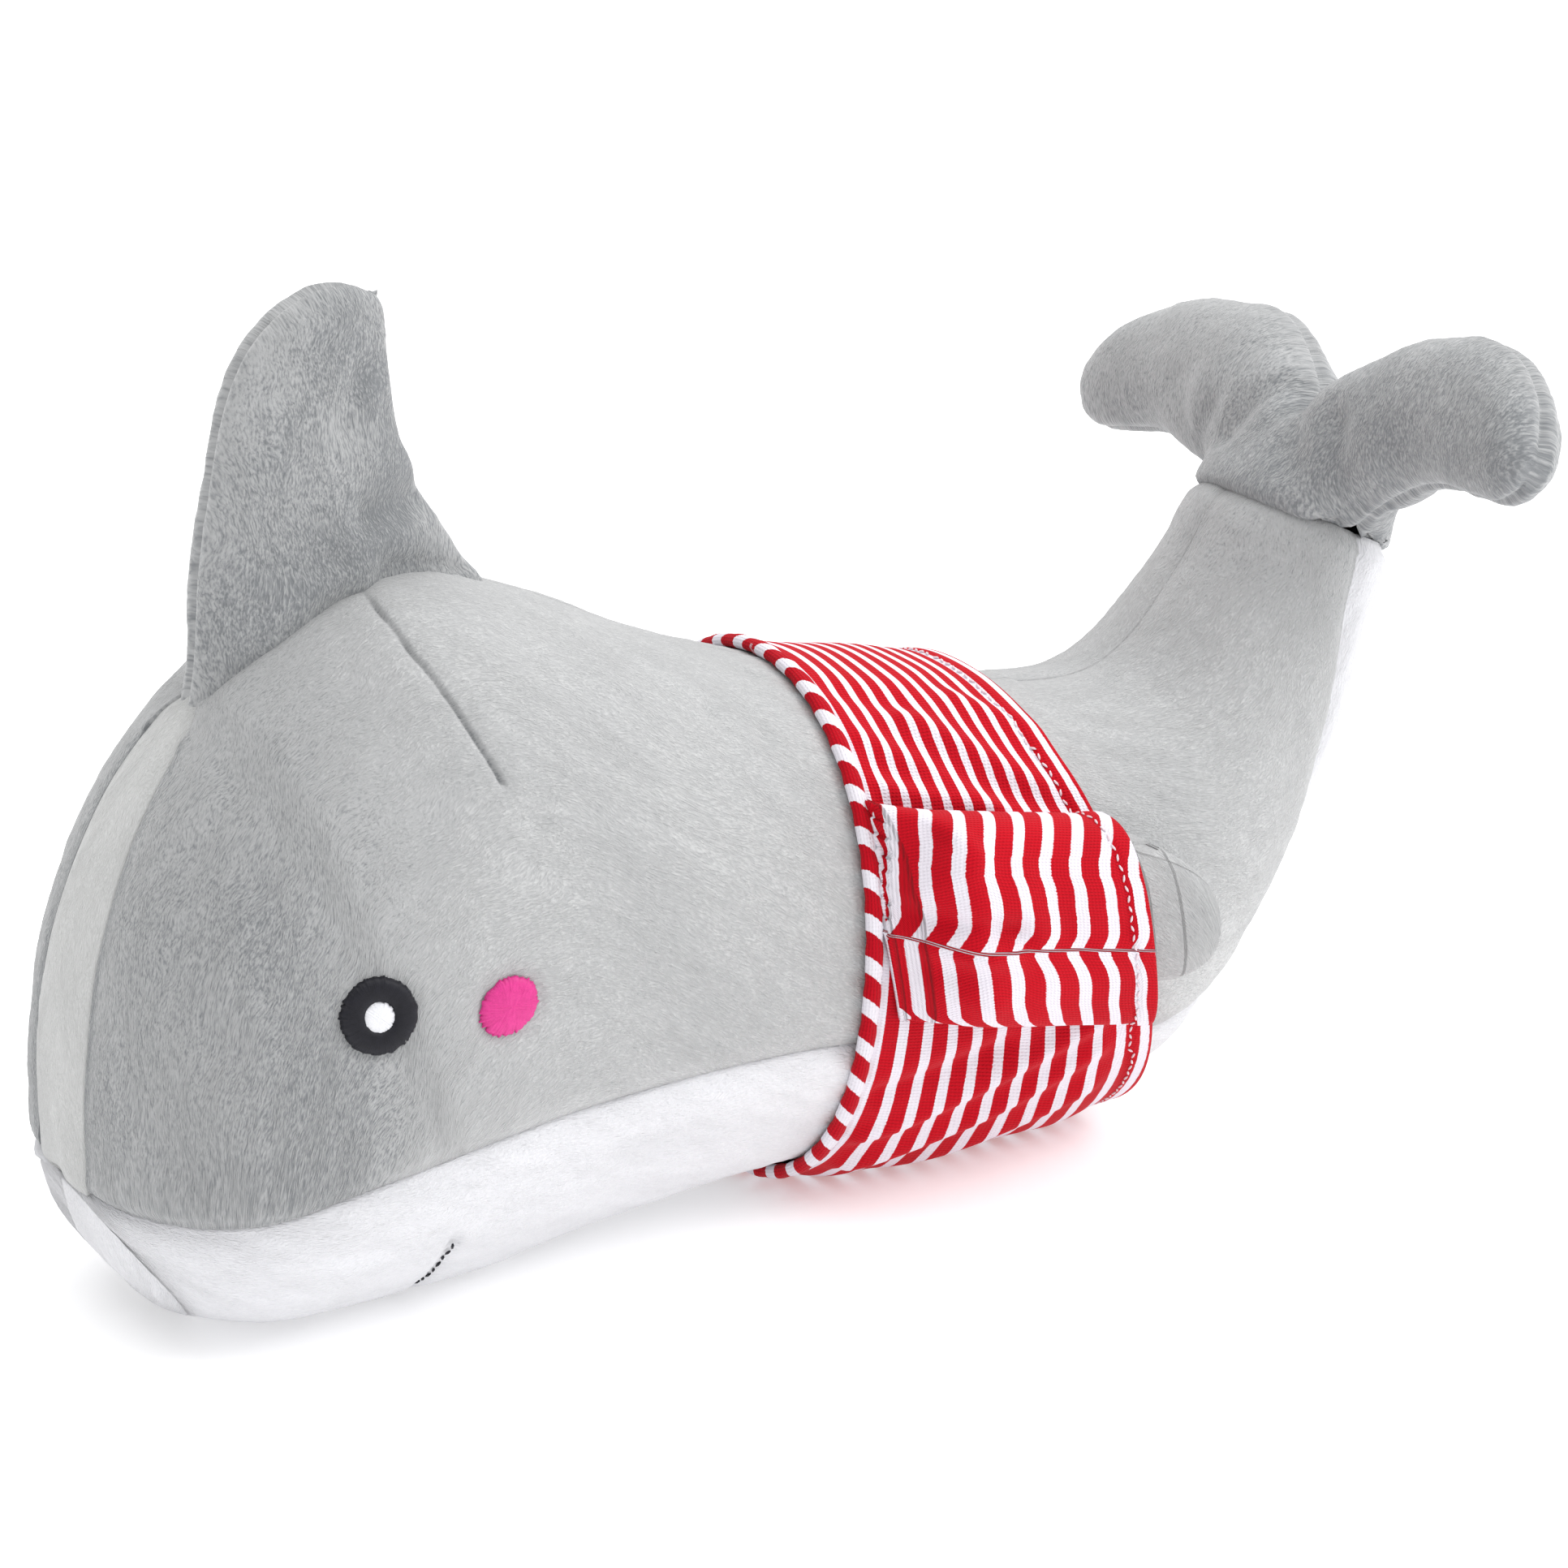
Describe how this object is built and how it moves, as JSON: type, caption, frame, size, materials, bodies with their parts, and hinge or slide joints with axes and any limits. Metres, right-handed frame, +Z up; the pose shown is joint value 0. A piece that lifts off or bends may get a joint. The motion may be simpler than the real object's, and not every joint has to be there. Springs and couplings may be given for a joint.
{
  "type": "plush shark",
  "caption": "Stuffed plush shark with a padded dorsal fin, an upturned tail with a fluke, and a striped knitted shirt whose sleeves hold its flippers.",
  "frame": {"origin": "centre of the bounding box's base, on the floor under the middle of the body", "axes": "+Z up, the head points along -X, the shark's left side faces -Y"},
  "size_m": [0.2882, 0.1376, 0.1827],
  "materials": {
    "grey_plush": "short dense pile, matte with a soft sheen",
    "white_plush": "short dense pile, matte",
    "stuffing": "loose polyester fibre",
    "striped_knit": "fine cotton jersey with red and white stripes",
    "hem_thread": "sewing thread",
    "black_thread": "glossy embroidery thread",
    "white_thread": "glossy embroidery thread",
    "pink_thread": "glossy embroidery thread"
  },
  "bodies": {
    "torso": {"left_side_panel": "grey_plush", "right_side_panel": "grey_plush", "forehead_gusset": "grey_plush", "belly_panel": "white_plush", "body_stuffing": "stuffing", "left_eye_ring": "black_thread", "left_eye_highlight": "white_thread", "right_eye_ring": "black_thread", "right_eye_highlight": "white_thread", "left_cheek": "pink_thread", "right_cheek": "pink_thread", "smile_stitch": "black_thread", "shirt_body": "striped_knit", "neck_binding": "striped_knit", "shirt_hem_thread": "hem_thread"},
    "dorsal_fin": {"dorsal_fin_left_cover": "grey_plush", "dorsal_fin_right_cover": "grey_plush", "dorsal_fin_stuffing": "stuffing"},
    "tail": {"tail_left_panel": "grey_plush", "tail_right_panel": "grey_plush", "tail_belly_panel": "white_plush", "tail_stuffing": "stuffing"},
    "fluke": {"fluke_front_cover": "grey_plush", "fluke_back_cover": "grey_plush", "fluke_stuffing": "stuffing"},
    "left_flipper": {"left_flipper_outer_cover": "grey_plush", "left_flipper_inner_cover": "grey_plush", "left_flipper_stuffing": "stuffing", "left_sleeve": "striped_knit", "left_sleeve_hem_thread": "hem_thread"},
    "right_flipper": {"right_flipper_outer_cover": "grey_plush", "right_flipper_inner_cover": "grey_plush", "right_flipper_stuffing": "stuffing", "right_sleeve": "striped_knit", "right_sleeve_hem_thread": "hem_thread"}
  },
  "joints": [
    {"name": "dorsal_fin_flop", "type": "hinge", "parent": "torso", "child": "dorsal_fin", "pos_m": [-0.11883, 0, 0.10747], "axis": [0.9669, 0, 0.2552], "range_deg": [-15, 15], "stiffness_Nm_per_rad": 0.2},
    {"name": "tail_bend", "type": "hinge", "parent": "torso", "child": "tail", "pos_m": [0.0496, 0, 0.0479], "axis": [0, -1, 0], "range_deg": [-12, 18], "stiffness_Nm_per_rad": 1},
    {"name": "fluke_flap", "type": "hinge", "parent": "tail", "child": "fluke", "pos_m": [0.12234, 0, 0.1135], "axis": [0, -1, 0], "range_deg": [-20, 20], "stiffness_Nm_per_rad": 0.3},
    {"name": "left_flipper_swing", "type": "hinge", "parent": "torso", "child": "left_flipper", "pos_m": [-0.00411, -0.04615, 0.06465], "axis": [0, 0, -1], "range_deg": [0, 50], "stiffness_Nm_per_rad": 0.1},
    {"name": "right_flipper_swing", "type": "hinge", "parent": "torso", "child": "right_flipper", "pos_m": [-0.00411, 0.04615, 0.06465], "axis": [0, 0, 1], "range_deg": [0, 50], "stiffness_Nm_per_rad": 0.1}
  ]
}
